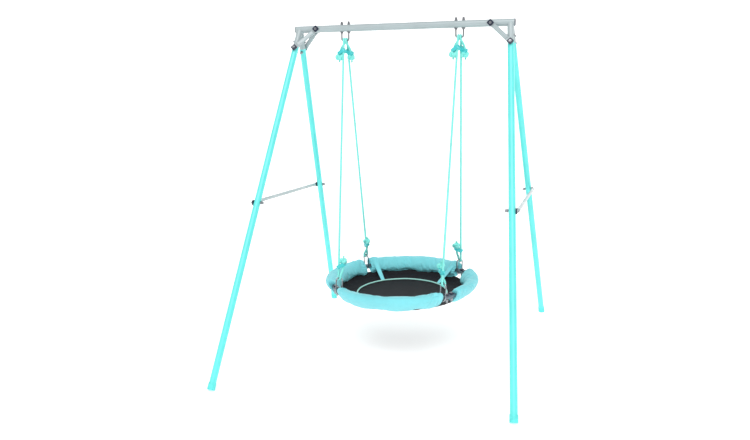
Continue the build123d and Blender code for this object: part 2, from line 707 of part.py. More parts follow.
with BuildPart() as ring_nuts:
    for angle in bolt_angles:
        face = ring_vector(angle) * RING_RADIUS + z_axis * (RING_Z - ring_face)
        dome_nut(face, -z_axis, RING_BOLT_RADIUS)
save_seat(ring_nuts, "ring_nuts")

# Padded sleeves: a leaning oval of foam and cloth round each stretch of the ring.
# The left one reaches over the rear seam, with a pocket for the bolts there.
long_span = 180 - 2 * SLEEVE_START
short_span = 2 * SIDE_SLEEVE_END
sleeves = {
    "right": (-SIDE_SLEEVE_END, short_span),
    "rear": (SLEEVE_START, long_span),
    "left": (180 - LONG_SIDE_SLEEVE_END, SIDE_SLEEVE_END + LONG_SIDE_SLEEVE_END),
    "front": (180 + SLEEVE_START, long_span),
}
oval_turn = 90 - SLEEVE_LEAN
for name, (start, span) in sleeves.items():
    with BuildPart() as sleeve:
        with BuildSketch(ring_plane(start)) as section:
            with Locations((SLEEVE_RADIUS, SLEEVE_Z)):
                Ellipse(SLEEVE_LONG, SLEEVE_SHORT, rotation=oval_turn)
            with Locations((RING_RADIUS, RING_Z)):
                Circle(RING_TUBE_RADIUS + GAP, mode=Mode.SUBTRACT)
        revolve(section.sketch, axis=Axis.Z, revolution_arc=span)
        if name == "left":
            with BuildSketch(ring_plane(start)) as pocket:
                with Locations((RING_RADIUS, RING_Z)):
                    Rectangle(2 * POCKET_CAP_HALF, POCKET_ABOVE, align=(Align.CENTER, Align.MIN))
                    Rectangle(2 * POCKET_NUT_HALF, POCKET_BELOW, align=(Align.CENTER, Align.MAX))
            pocket_span = LONG_SIDE_SLEEVE_END - POCKET_END
            revolve(pocket.sketch, axis=Axis.Z, revolution_arc=pocket_span, mode=Mode.SUBTRACT)
    save_seat(sleeve, f"sleeve_{name}")

# Mat: a flat round of mesh, its sloping wall, and the cord binding sewn between them
with BuildPart() as mat:
    with BuildSketch(Plane.XY.offset(MAT_Z)):
        Circle(MAT_RADIUS)
    extrude(amount=MAT_THICKNESS)
save_seat(mat, "mat")

wall_foot = MAT_Z + MAT_THICKNESS + TOUCH
with BuildPart() as mat_wall:
    with BuildSketch(Plane.XZ) as section:
        with BuildLine():
            Polyline(
                (MAT_RADIUS - MAT_THICKNESS - 1, wall_foot),
                (MAT_RADIUS, wall_foot),
                (WALL_TOP_RADIUS + 2, WALL_TOP_Z - 2),
                (WALL_TOP_RADIUS, WALL_TOP_Z),
                close=True,
            )
        make_face()
    revolve(section.sketch, axis=Axis.Z)
save_seat(mat_wall, "mat_wall")

with BuildPart() as binding:
    with BuildSketch(Plane.XZ) as section:
        with Locations((MAT_RADIUS - 2 * BINDING_RADIUS, wall_foot + BINDING_RADIUS)):
            Circle(BINDING_RADIUS)
    revolve(section.sketch, axis=Axis.Z)
save_seat(binding, "mat_binding")

# Webbing straps: over the top of the long sleeves' ends and straight down to the mat
toward_mat = Vector(-sin(radians(SLEEVE_LEAN)), -cos(radians(SLEEVE_LEAN)))
inward_up = Vector(-cos(radians(SLEEVE_LEAN)), sin(radians(SLEEVE_LEAN)))


def strap_edge(lift):
    """One face of a strap in section, from the sleeve's top to the mat's edge."""
    edge = []
    for step in range(STRAP_STEPS + 1):
        turn = radians(180 + (STRAP_LEAVES_AT - 180) * step / STRAP_STEPS)
        down = toward_mat * ((SLEEVE_LONG + lift) * cos(turn))
        edge.append(Vector(SLEEVE_RADIUS, SLEEVE_Z) + down + inward_up * ((SLEEVE_SHORT + lift) * sin(turn)))
    run = (Vector(STRAP_FOOT_RADIUS, STRAP_FOOT_Z) - edge[-1]).normalized()
    edge.append(Vector(STRAP_FOOT_RADIUS, STRAP_FOOT_Z) + Vector(run.Y, -run.X) * (lift - GAP))
    return edge


strap_outline = strap_edge(GAP) + strap_edge(GAP + STRAP_THICKNESS)[::-1]
strap_centres = [sign * (SLEEVE_START + STRAP_WIDTH_ANGLE / 2) for sign in (-1, 1)]
strap_centres += [180 + angle for angle in strap_centres]
with BuildPart() as straps:
    for angle in strap_centres:
        with BuildSketch(ring_plane(angle - STRAP_WIDTH_ANGLE / 2)) as section:
            with BuildLine():
                Polyline(*[(point.X, point.Y) for point in strap_outline], close=True)
            make_face()
        revolve(section.sketch, axis=Axis.Z, revolution_arc=STRAP_WIDTH_ANGLE)
save_seat(straps, "mat_straps")
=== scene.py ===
import bpy
import json
import math
import numpy as np
from mathutils import Matrix, Vector, noise
from mathutils.bvhtree import BVHTree


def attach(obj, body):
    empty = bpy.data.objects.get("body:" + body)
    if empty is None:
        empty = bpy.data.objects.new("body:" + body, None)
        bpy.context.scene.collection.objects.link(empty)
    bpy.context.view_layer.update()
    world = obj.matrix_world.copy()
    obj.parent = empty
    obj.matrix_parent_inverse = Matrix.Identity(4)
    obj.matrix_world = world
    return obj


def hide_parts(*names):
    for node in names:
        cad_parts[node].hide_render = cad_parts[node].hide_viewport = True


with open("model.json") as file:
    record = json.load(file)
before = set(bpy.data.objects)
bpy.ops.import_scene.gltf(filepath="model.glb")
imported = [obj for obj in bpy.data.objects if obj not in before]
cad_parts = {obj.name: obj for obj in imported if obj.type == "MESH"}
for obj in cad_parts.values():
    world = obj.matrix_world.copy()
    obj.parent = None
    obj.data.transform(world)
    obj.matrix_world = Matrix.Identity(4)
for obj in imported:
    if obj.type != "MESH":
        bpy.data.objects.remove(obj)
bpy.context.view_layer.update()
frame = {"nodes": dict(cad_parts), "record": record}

# Driving sizes, in metres
HANGER_X = 0.348
PIVOT_Z = 1.883
RING_RADIUS = 0.425
RING_Z = 0.415
SEAT_TILT = math.radians(3.5)
RING_TUBE = 0.0125
ROPE_BULK = 0.0071
ROPE_SPREAD = 0.0065
HOOK_TOP = 0.0829
HOOK_TWIST = 13
TAIL_START = 0.055
TAIL_END = 0.093
TAIL_ASIDE = 0.025
WRAP = 0.0113
SLEEVE_RADIUS = 0.423
SLEEVE_Z = 0.412
SLEEVE_LEAN = math.radians(40)
CORNERS = [(end, side) for end in (-1, 1) for side in (-1, 1)]
NAMES = {(-1, -1): "front_left", (-1, 1): "front_right", (1, -1): "rear_left", (1, 1): "rear_right"}


# ---------------------------------------------------------------- materials
class Nodes:
    """A small helper that adds nodes to one material and links them."""

    def __init__(self, name):
        self.material = bpy.data.materials.new(name)
        self.material.use_nodes = True
        self.tree = self.material.node_tree
        self.shader = self.tree.nodes["Principled BSDF"]
        self.coordinates = self.add("ShaderNodeTexCoord")

    def add(self, kind, **values):
        node = self.tree.nodes.new(kind)
        for key, value in values.items():
            setattr(node, key, value)
        return node

    def link(self, source, target):
        self.tree.links.new(source, target)

    def math(self, operation, first, second):
        node = self.add("ShaderNodeMath", operation=operation)
        for socket, value in zip(node.inputs, (first, second)):
            if isinstance(value, (int, float)):
                socket.default_value = value
            else:
                self.link(value, socket)
        return node.outputs[0]

    def noise(self, scale, detail=3.0, rough=0.55, vector="Object", stretch=None):
        texture = self.add("ShaderNodeTexNoise")
        texture.inputs["Scale"].default_value = scale
        texture.inputs["Detail"].default_value = detail
        texture.inputs["Roughness"].default_value = rough
        source = self.coordinates.outputs[vector]
        if stretch:
            mapping = self.add("ShaderNodeMapping")
            mapping.inputs["Scale"].default_value = stretch
            self.link(source, mapping.inputs["Vector"])
            source = mapping.outputs[0]
        self.link(source, texture.inputs["Vector"])
        return texture.outputs["Fac"]

    def ramp(self, value, stops):
        node = self.add("ShaderNodeValToRGB")
        points = node.color_ramp.elements
        while len(points) < len(stops):
            points.new(0.5)
        for point, (position, color) in zip(points, stops):
            point.position = position
            point.color = (*color, 1)
        self.link(value, node.inputs[0])
        return node.outputs[0]

    def range(self, value, low, high):
        node = self.add("ShaderNodeMapRange")
        node.inputs["To Min"].default_value = low
        node.inputs["To Max"].default_value = high
        self.link(value, node.inputs["Value"])
        return node.outputs[0]

    def bump(self, height, strength, distance, below=None):
        node = self.add("ShaderNodeBump")
        node.inputs["Strength"].default_value = strength
        node.inputs["Distance"].default_value = distance
        self.link(height, node.inputs["Height"])
        if below is not None:
            self.link(below, node.inputs["Normal"])
        return node.outputs[0]

    def finish(self, color, roughness, normal=None, **fixed):
        self.link(color, self.shader.inputs["Base Color"])
        self.link(roughness, self.shader.inputs["Roughness"])
        if normal is not None:
            self.link(normal, self.shader.inputs["Normal"])
        for name, value in fixed.items():
            self.shader.inputs[name.replace("_", " ")].default_value = value
        return self.material


def shade(color, factor):
    return tuple(min(1.0, channel * factor) for channel in color)


def painted(name, color, low, high, peel=0.15):
    """Powder-coated tube: orange peel, faint mottling and a little dust in the gloss."""
    n = Nodes(name)
    blotch = n.noise(7.0, 4.0)
    fine = n.noise(260.0, 2.0)
    tint = n.ramp(blotch, [(0.3, shade(color, 0.93)), (0.7, shade(color, 1.04))])
    scuff = n.math("ADD", n.math("MULTIPLY", n.noise(38.0, 6.0, 0.7), 0.7), n.math("MULTIPLY", fine, 0.3))
    return n.finish(
        tint, n.range(scuff, low, high), n.bump(fine, peel, 0.0004), Coat_Weight=0.25, Coat_Roughness=0.18
    )


def metal(name, color, low, high, brushed=(1, 1, 1), strength=0.12):
    """Plated or polished steel with drawn lines and uneven polish."""
    n = Nodes(name)
    lines = n.noise(420.0, 3.0, 0.6, stretch=brushed)
    spots = n.noise(90.0, 5.0, 0.7)
    tint = n.ramp(spots, [(0.25, shade(color, 0.82)), (0.75, color)])
    mixed = n.math("ADD", n.math("MULTIPLY", lines, 0.5), n.math("MULTIPLY", spots, 0.5))
    return n.finish(tint, n.range(mixed, low, high), n.bump(lines, strength, 0.0002), Metallic=1.0)


def plastic(name, color, low, high, grain=700.0, strength=0.2):
    """Moulded plastic with a fine spark-eroded grain and slightly paler rubbed areas."""
    n = Nodes(name)
    texture = n.noise(grain, 2.0)
    rub = n.noise(45.0, 5.0, 0.65)
    tint = n.ramp(rub, [(0.35, shade(color, 0.9)), (0.75, shade(color, 1.12))])
    return n.finish(tint, n.range(rub, low, high), n.bump(texture, strength, 0.0003))


def woven(name, color, thread, low, high, depth=0.0004, painted_weave_shade=0.25, sheen=0.2, vector="UV"):
    """Plain-woven cloth: warp and weft crossing at the thread's spacing, over soft creases; the weave's
    height is also painted into its colour, a painted highlight on the raised threads and painted shade where
    they dip.
    """
    n = Nodes(name)
    split = n.add("ShaderNodeSeparateXYZ")
    n.link(n.coordinates.outputs[vector], split.inputs[0])
    turn = 2 * math.pi / thread
    waves = [n.math("SINE", n.math("MULTIPLY", split.outputs[axis], turn), 0.0) for axis in (0, 1)]
    halves = [n.math("SINE", n.math("MULTIPLY", split.outputs[axis], turn / 2), 0.0) for axis in (0, 1)]
    over = n.math("MULTIPLY", halves[0], halves[1])
    weave = n.math("ADD", n.math("MULTIPLY", over, 0.5), n.math("MULTIPLY", n.math("ADD", *waves), 0.25))
    fuzz = n.noise(900.0, 2.0)
    fade = n.noise(5.0, 5.0, 0.6)
    crease = n.noise(26.0, 5.0, 0.62)
    height = n.math("ADD", weave, n.math("MULTIPLY", fuzz, 0.4))
    # painted light and shade: the weave's height tints the raised threads lighter and the dips darker, over a
    # random fade
    tone = n.math("ADD", n.math("MULTIPLY", height, painted_weave_shade), n.math("MULTIPLY", fade, 1.0))
    tint = n.ramp(tone, [(0.2, shade(color, 0.86)), (0.8, shade(color, 1.08))])
    folds = n.bump(crease, 0.35, 0.004)
    normal = n.bump(height, 0.5, depth, folds)
    return n.finish(tint, n.range(fuzz, low, high), normal, Sheen_Weight=sheen, Sheen_Roughness=0.5)


def mesh_cloth(name, color, thread, low, high):
    """Open mesh cloth: thick crossed yarns, the dark pinholes between them painted in as shade and the yarn
    crowns painted lighter as a highlight.
    """
    n = Nodes(name)
    split = n.add("ShaderNodeSeparateXYZ")
    n.link(n.coordinates.outputs["UV"], split.inputs[0])
    turn = 2 * math.pi / thread
    ribs = [
        n.math("ABSOLUTE", n.math("SINE", n.math("MULTIPLY", split.outputs[axis], turn), 0.0), 0.0)
        for axis in (0, 1)
    ]
    yarn = n.math("MAXIMUM", *ribs)
    fuzz = n.noise(600.0, 2.0)
    dust = n.noise(6.0, 6.0, 0.7)
    # painted light: the yarn height sets the tint, dark painted shade in the pinholes and a painted highlight
    # on the yarn crowns; the dust noise adds random tone
    tone = n.math("ADD", n.math("MULTIPLY", yarn, 0.5), n.math("MULTIPLY", dust, 0.5))
    tint = n.ramp(tone, [(0.25, shade(color, 0.55)), (0.6, color), (0.85, shade(color, 1.5))])
    height = n.math("ADD", yarn, n.math("MULTIPLY", fuzz, 0.3))
    bump = n.bump(height, 0.7, 0.0006)
    return n.finish(tint, n.range(fuzz, low, high), bump, Sheen_Weight=0.03, Specular_IOR_Level=0.25)


def fibre(name, color, low, high):
    """Braided rope yarn: fine filaments along the strands, their raised crowns painted paler as a highlight.
    """
    n = Nodes(name)
    filaments = n.noise(1500.0, 3.0, 0.6, stretch=(1.0, 1.0, 0.25))
    fade = n.noise(9.0, 5.0, 0.6)
    # painted highlight: the filament noise that raises the bump also tints the raised filaments paler, over a
    # slow random fade
    tone = n.math("ADD", n.math("MULTIPLY", filaments, 0.45), n.math("MULTIPLY", fade, 0.55))
    tint = n.ramp(tone, [(0.3, shade(color, 0.85)), (0.7, shade(color, 1.1))])
    return n.finish(tint, n.range(filaments, low, high), n.bump(filaments, 0.4, 0.0004), Sheen_Weight=0.25)


AQUA = (0.135, 0.80, 0.77)
CLOTH = (0.195, 0.67, 0.735)
MINT = (0.235, 0.80, 0.735)
turquoise_paint = painted("turquoise_paint", AQUA, 0.22, 0.42)
ring_paint = painted("ring_paint", (0.115, 0.165, 0.20), 0.28, 0.48)
grey_paint = painted("grey_paint", (0.40, 0.47, 0.485), 0.28, 0.48)
zinc = metal("zinc_plate", (0.33, 0.34, 0.36), 0.25, 0.45)
chrome = metal("polished_steel", (0.42, 0.44, 0.47), 0.12, 0.28, (1, 1, 4), 0.05)
dark_plastic = plastic("dark_plastic", (0.013, 0.020, 0.048), 0.32, 0.5)
foot_plastic = plastic("foot_plastic", (0.12, 0.76, 0.73), 0.38, 0.55)
adjuster_plastic = plastic("adjuster_plastic", (0.065, 0.58, 0.60), 0.28, 0.45)
rope_fibre = fibre("rope_fibre", MINT, 0.6, 0.85)
sleeve_cloth = woven("sleeve_cloth", CLOTH, 0.0016, 0.55, 0.75)
hem_cloth = woven("hem_cloth", shade(CLOTH, 1.08), 0.0012, 0.55, 0.72)
mat_cloth = mesh_cloth("mat_cloth", (0.0075, 0.0075, 0.0105), 0.0032, 0.6, 0.85)
piping_cloth = woven("piping_cloth", (0.40, 0.80, 0.72), 0.0012, 0.5, 0.7)
stitch_thread = fibre("stitch_thread", (0.45, 0.82, 0.80), 0.5, 0.7)

BY_SLOT = {
    "turquoise_paint": turquoise_paint,
    "grey_paint": grey_paint,
    "ring_paint": ring_paint,
    "zinc_steel": zinc,
    "bright_steel": chrome,
    "dark_plastic": dark_plastic,
    "foot_plastic": foot_plastic,
    "adjuster_plastic": adjuster_plastic,
}
for part in frame["record"]["subparts"]:
    node = frame["nodes"][part["node"]]
    chosen = BY_SLOT.get(part["material_slot"])
    if chosen:
        for material_slot in node.material_slots:
            material_slot.link = "OBJECT"
            material_slot.material = chosen


# The adjusters are moulded fuller than their plain solid
for node_name in ("lower_adjusters", "upper_adjusters"):
    adjusters = frame["nodes"][node_name]
    adjusters.modifiers.new("closed", "WELD").merge_threshold = 0.0001
    fuller = adjusters.modifiers.new("fuller", "DISPLACE")
    fuller.strength = 0.0036
    fuller.mid_level = 0.0

# ---------------------------------------------------------------- mesh makers
def surface(name, grid, material, wrap=(False, False), spans=(1.0, 1.0), smooth=True):
    """A mesh from a grid of points, with UVs in metres along its two directions."""
    grid = np.asarray(grid, float)
    rows, columns = grid.shape[:2]
    last_row = rows if wrap[0] else rows - 1
    last_column = columns if wrap[1] else columns - 1
    faces = []
    corners = []
    for i in range(last_row):
        for j in range(last_column):
            down, across = (i + 1) % rows, (j + 1) % columns
            faces.append((i * columns + j, down * columns + j, down * columns + across, i * columns + across))
            corners += [(i, j), (i + 1, j), (i + 1, j + 1), (i, j + 1)]
    mesh = bpy.data.meshes.new(name)
    mesh.from_pydata(grid.reshape(-1, 3).tolist(), [], faces)
    mesh.polygons.foreach_set("use_smooth", [smooth] * len(faces))
    layer = mesh.uv_layers.new(name="cloth")
    scale = np.array([spans[0] / last_row, spans[1] / last_column])
    layer.data.foreach_set("uv", (np.array(corners) * scale).ravel())
    mesh.materials.append(material)
    mesh.validate()
    mesh.update()
    piece = bpy.data.objects.new(name, mesh)
    bpy.context.scene.collection.objects.link(piece)
    return piece


def finish_piece(piece, body, *nodes, slot=None):
    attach(piece, body)
    if nodes:
        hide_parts(*nodes)
    return piece


def joined(name, pieces):
    """One object from several, keeping their materials."""
    bpy.ops.object.select_all(action="DESELECT")
    for piece in pieces:
        piece.select_set(True)
    bpy.context.view_layer.objects.active = pieces[0]
    bpy.ops.object.join()
    pieces[0].name = name
    return pieces[0]


def frames_along(points):
    """Tangent and two steady cross directions at each point of a line."""
    points = np.asarray(points)
    tangents = np.gradient(points, axis=0)
    tangents /= np.linalg.norm(tangents, axis=1)[:, None]
    start = np.cross(tangents[0], [0.31, 0.92, 0.22])
    side = start / np.linalg.norm(start)
    sides = []
    for tangent in tangents:
        side = side - tangent * side.dot(tangent)
        side /= np.linalg.norm(side)
        sides.append(side)
    sides = np.array(sides)
    return tangents, sides, np.cross(tangents, sides)


def resampled(points, step):
    points = np.asarray(points)
    run = np.concatenate([[0], np.cumsum(np.linalg.norm(np.diff(points, axis=0), axis=1))])
    count = max(4, int(run[-1] / step))
    at = np.linspace(0, run[-1], count)
    return np.stack([np.interp(at, run, points[:, k]) for k in range(3)], axis=1), at


def tube(name, points, radius, material, sides=10, step=None):
    """A round tube along a line, closed by flat ends."""
    if step:
        points, _ = resampled(points, step)
    _, u, v = frames_along(points)
    count = len(points)
    turn = np.linspace(0, 2 * math.pi, sides, endpoint=False)
    radii = np.full(count, radius) if np.isscalar(radius) else np.asarray(radius)
    grid = (
        np.asarray(points)[:, None]
        + radii[:, None, None]
        * (np.cos(turn)[None, :, None] * u[:, None] + np.sin(turn)[None, :, None] * v[:, None])
    )
    ends = [np.repeat(np.asarray(points)[k][None, None], sides, axis=1) for k in (0, -1)]
    grid = np.concatenate([ends[0], grid, ends[1]])
    girth = 2 * math.pi * radius if np.isscalar(radius) else 0.03
    return surface(name, grid, material, wrap=(False, True), spans=(count * 0.004, girth))


# ---------------------------------------------------------------- ropes
def unit(vector):
    return vector / np.linalg.norm(vector)


def out_at(angle):
    return np.array([math.cos(math.radians(angle)), math.sin(math.radians(angle)), 0.0])


UP = np.array([0.0, 0.0, 1.0])
HOOK_ANGLES = {(1, 1): 42.5, (1, -1): 137.5, (-1, -1): 222.5, (-1, 1): 317.5}
SEAT_TURN = (
    Matrix.Translation((0, 0, RING_Z))
    @ Matrix.Rotation(SEAT_TILT, 4, "X")
    @ Matrix.Translation((0, 0, -RING_Z))
)


def hung(point):
    """A point of the level seat where it really hangs, its front edge a little lower."""
    return np.array(SEAT_TURN @ Vector(point))


def hook_frame(sy, sx):
    angle = HOOK_ANGLES[sy, sx]
    level = out_at(angle) * RING_RADIUS + UP * RING_Z
    seat = hung(level)
    pivot = np.array([sx * HANGER_X + sy * ROPE_SPREAD, 0, PIVOT_Z])
    pull = unit(pivot - seat)
    tangent = hung(level + np.cross(UP, out_at(angle))) - seat
    normal = unit(pull * tangent.dot(pull) - tangent)
    width = np.cross(pull, normal)
    twist = 0 if sx == sy else math.radians(HOOK_TWIST)
    turned_normal = normal * math.cos(twist) + width * math.sin(twist)
    turned_width = width * math.cos(twist) - normal * math.sin(twist)
    return seat, pull, turned_normal, turned_width


def rope_points(sy, sx):
    """The rope's route: upper tail, over the U-bolt, down, through the hook, lower tail."""
    seat, pull, normal, width = hook_frame(sy, sx)
    low = seat + pull * HOOK_TOP
    high = np.array([sx * HANGER_X + sy * ROPE_SPREAD, 0, PIVOT_Z])
    run = high - low
    rise = unit(np.array([0, run[1], run[2]]))
    front = np.array([0, rise[2], -rise[1]]) * sy
    aside = np.array([sy * TAIL_ASIDE, 0, 0])
    inward = width * -TAIL_ASIDE
    near, wide = 0.0108, 0.0132
    start = high + rise * near + front * wide
    finish = low - pull * near + normal * wide
    along = unit(finish - start)
    return [
        high - rise * TAIL_END + aside,
        high - rise * TAIL_START + aside,
        high - rise * WRAP - front * wide,
        high + rise * near - front * wide,
        start,
        start + along * 0.0226,
        start + along * 0.072,
        finish - along * 0.072,
        finish - along * 0.0226,
        finish,
        low - pull * near - normal * wide,
        low + pull * WRAP - normal * wide,
        low + pull * TAIL_START + inward,
        low + pull * TAIL_END + inward,
    ]


def spline_line(name, points):
    """Points along the smooth NURBS line that has the route's points as control points."""
    curve = bpy.data.curves.new(name, "CURVE")
    curve.dimensions = "3D"
    curve.resolution_u = 24
    spline = curve.splines.new("NURBS")
    spline.points.add(len(points) - 1)
    for point, place in zip(spline.points, points):
        point.co = (*place, 1)
    spline.order_u = 3
    spline.use_endpoint_u = True
    holder = bpy.data.objects.new(name, curve)
    mesh = bpy.data.meshes.new_from_object(holder)
    line = np.array([vertex.co[:] for vertex in mesh.vertices])
    bpy.data.objects.remove(holder)
    return line


def braid(name, line, radius, material, carriers=6, pitch=0.030, step=0.0016):
    """A braided rope: flat strands of both hands weaving over and under, round a core."""
    points, at = resampled(line, step)
    _, u, v = frames_along(points)
    section = [(math.cos(a), math.sin(a)) for a in np.linspace(0, 2 * math.pi, 6, endpoint=False)]
    pieces = []
    strand_width, strand_depth = radius * 0.36, radius * 0.19
    for hand in (1, -1):
        for carrier in range(carriers):
            angle = hand * 2 * math.pi * at / pitch + 2 * math.pi * carrier / carriers
            crossing = carriers * 2 * math.pi * at / pitch
            lift = hand * np.cos(crossing + math.pi * carrier)
            orbit = radius - strand_depth - radius * 0.07 + radius * 0.07 * lift
            outward = np.cos(angle)[:, None] * u + np.sin(angle)[:, None] * v
            centre = points + outward * orbit[:, None]
            heading = np.gradient(centre, axis=0)
            heading /= np.linalg.norm(heading, axis=1)[:, None]
            sideways = np.cross(heading, outward)
            edges = [
                centre + sideways * (c * strand_width) + outward * (s * strand_depth) for c, s in section
            ]
            grid = np.stack(edges, axis=1)
            pieces.append(surface(f"{name}_strand", grid, material, wrap=(False, True), spans=(at[-1], 0.01)))
    core = tube(f"{name}_core", points[::3], radius * 0.8, material, sides=10)
    return joined(name, [core] + pieces)


def fray(name, tip, direction, radius, material, seed):
    """The loose yarns past a stopper knot."""
    rng = np.random.default_rng(seed)
    side = unit(np.cross(direction, [0.3, 0.5, 0.8]))
    other = np.cross(direction, side)
    yarns = []
    for k in range(14):
        angle = k * 2.4
        spread = radius * (0.25 + 0.55 * rng.random())
        outward = side * math.cos(angle) + other * math.sin(angle)
        reach = 0.013 + 0.007 * rng.random()
        bow = [tip + outward * spread * (0.5 + t) + direction * reach * t for t in (0, 0.35, 0.7, 1.0)]
        yarns.append(tube(name, bow, radius * 0.16, material, sides=5))
    return yarns


def knot(name, tip, direction, material, seed):
    """A tight overhand stopper knot with its frayed tail."""
    rng = np.random.default_rng(seed)
    side = unit(np.cross(direction, [0.2, 0.9, 0.3]))
    other = np.cross(direction, side)
    turns = np.linspace(0, 2 * math.pi, 46)
    centre = tip + direction * 0.008
    size = 0.0110
    loop = [
        centre
        + side * size * (math.sin(t) + 1.35 * math.sin(2 * t)) * 0.72
        + other * size * (math.cos(t) - 1.35 * math.cos(2 * t)) * 0.72
        - direction * size * 0.8 * math.sin(3 * t)
        for t in turns
    ]
    body = tube(f"{name}_body", loop, 0.0088, material, sides=12, step=0.0016)
    ends = [tip - direction * 0.004, tip + direction * 0.024]
    tail = tube(f"{name}_tail", ends, 0.0068, material, sides=12, step=0.002)
    tuft = fray(f"{name}_yarn", tip + direction * 0.020, direction, 0.0068, material, seed)
    return [body, tail] + tuft


knot_pieces = []
rope_lines = {}
for sy, sx in CORNERS:
    name = NAMES[sy, sx]
    points = rope_points(sy, sx)
    line = spline_line(f"route_{name}", points)
    rope_lines[name] = line
    rope = braid(f"braided_rope_{name}", line, ROPE_BULK, rope_fibre)
    finish_piece(rope, "swing", f"rope_{name}", slot="rope_fibre")
    for tag, end_point, before in (("upper", points[0], points[1]), ("lower", points[-1], points[-2])):
        seed = len(knot_pieces) + 11
        made = knot(f"knot_{name}_{tag}", end_point, unit(end_point - before), rope_fibre, seed)
        knot_pieces.append(joined(f"stopper_knot_{name}_{tag}", made))
knots = joined("stopper_knots", knot_pieces)
finish_piece(knots, "swing", "rope_knots", slot="rope_fibre")
for sy, sx in CORNERS:
    name = NAMES[sy, sx]
    line = rope_lines[name]

# ---------------------------------------------------------------- padded sleeves
# start angle, span, noise seed, where the lower edge is drawn up, and how far apart
SLEEVES = {
    "front": (228.0, 86.8, 1, 0.064, 0.216),
    "rear": (45.8, 88.4, 2, 0.181, 0.203),
    "left": (140.3, 68.7, 3, 0.10, 0.19),
    "right": (-31.0, 61.5, 4, 0.12, 0.20),
}
HALF_LONG = 0.0600
HALF_SHORT = 0.0275
COVER_TRAVEL = 0.008
HEM_INSET = 0.006
HEM_WIDTH = 0.024
# how each end closes: the share of the rim's size, and how far it dishes in
END_FOLDS = (
    (0.975, -0.0016),
    (0.92, -0.0012),
    (0.80, 0.001),
    (0.66, 0.004),
    (0.52, 0.007),
    (0.40, 0.010),
    (0.30, 0.013),
)


def sleeve_centre(angle):
    return out_at(angle) * SLEEVE_RADIUS + UP * SLEEVE_Z


def sleeve_point(name, turn, share):
    """A point of a sleeve: turn round its section from the mat's edge over the inner face, share along it."""
    start, span, seed, drawn_at, apart = SLEEVES[name]
    angle = start + span * share
    length = math.radians(span) * SLEEVE_RADIUS
    place = share * length
    to_end = min(place, length - place)
    c, s = math.cos(turn), math.sin(turn)
    # the foam thins and the cover gathers towards each hem
    taper = 1 - 0.13 * math.exp(-((to_end / 0.024) ** 2)) - 0.05 * math.exp(-to_end / 0.08)
    wander = noise.noise(Vector((place * 7, turn * 0.5, seed * 7.3)))
    drawn = 0.5 + 0.5 * math.cos(2 * math.pi * (place - drawn_at) / apart + 0.5 * wander)
    edge = max(0.0, c)
    # long soft folds fan out from where the lower edge is drawn up to the mat
    fan = math.cos((place - drawn_at) * 150 + 2.2 * wander + turn * 0.8) * drawn * edge**2
    ridge = 1 - 2.4 * abs(noise.noise(Vector((place * 17 + wander * 1.5 + c * 0.5, turn * 0.8, seed * 3.1))))
    small = noise.noise(Vector((place * 48 + wander * 2, turn * 2.0, seed * 5.7)))
    tiny = noise.noise(Vector((place * 110, turn * 5.0, seed * 9.1)))
    depth = 0.0019 * ridge * (0.45 + 0.7 * abs(c)) + 0.0010 * small + 0.0004 * tiny + 0.0030 * wander
    depth += 0.0016 * fan
    gather = 0.0016 * math.exp(-((to_end / 0.030) ** 2)) * math.cos(turn * 19 + seed)
    reach = HALF_LONG * taper + depth + gather - 0.0170 * drawn * edge**3
    thick = HALF_SHORT * taper + depth + gather
    power = 0.92
    along_lean = math.copysign(abs(c) ** power, c) * reach
    across_lean = math.copysign(abs(s) ** power, s) * thick
    lean_sin, lean_cos = math.sin(SLEEVE_LEAN), math.cos(SLEEVE_LEAN)
    out = -lean_sin * along_lean - lean_cos * across_lean
    rise = -lean_cos * along_lean + lean_sin * across_lean
    return sleeve_centre(angle) + out_at(angle) * out + UP * rise


def make_sleeve(name):
    start, span, seed = SLEEVES[name][:3]
    length = math.radians(span) * SLEEVE_RADIUS
    rows, columns = int(length / 0.0042), 76
    turns = [2 * math.pi * k / columns for k in range(columns)]
    grid = [[sleeve_point(name, turn, row / (rows - 1)) for turn in turns] for row in range(rows)]
    # each end folds in to the ring tube with a gathered, dished face
    for at_start in (True, False):
        share = 0.0 if at_start else 1.0
        hub = out_at(start + span * share) * RING_RADIUS + UP * RING_Z
        tangent = np.cross(UP, out_at(start + span * share)) * (1 if at_start else -1)
        rim = [sleeve_point(name, turn, share) for turn in turns]
        closing = []
        for step, (shrink, dish) in enumerate(END_FOLDS):
            ring = []
            for turn, point in zip(turns, rim):
                radial = point - hub
                pleat = 0.0014 * math.cos(turn * 19 + seed) * min(1.0, step / 3)
                aim = radial * shrink
                if np.linalg.norm(aim) < RING_TUBE + 0.0006:
                    aim = unit(radial) * (RING_TUBE + 0.0006)
                ring.append(hub + aim + tangent * (dish + pleat))
            closing.append(ring)
        grid = closing[::-1] + grid if at_start else grid + closing
    return surface(f"padded_sleeve_{name}", grid, sleeve_cloth, wrap=(False, True), spans=(length, 0.31))


def positions(mesh):
    flat = np.empty(len(mesh.vertices) * 3, np.float32)
    mesh.vertices.foreach_get("co", flat)
    return flat.reshape(-1, 3).astype(float)


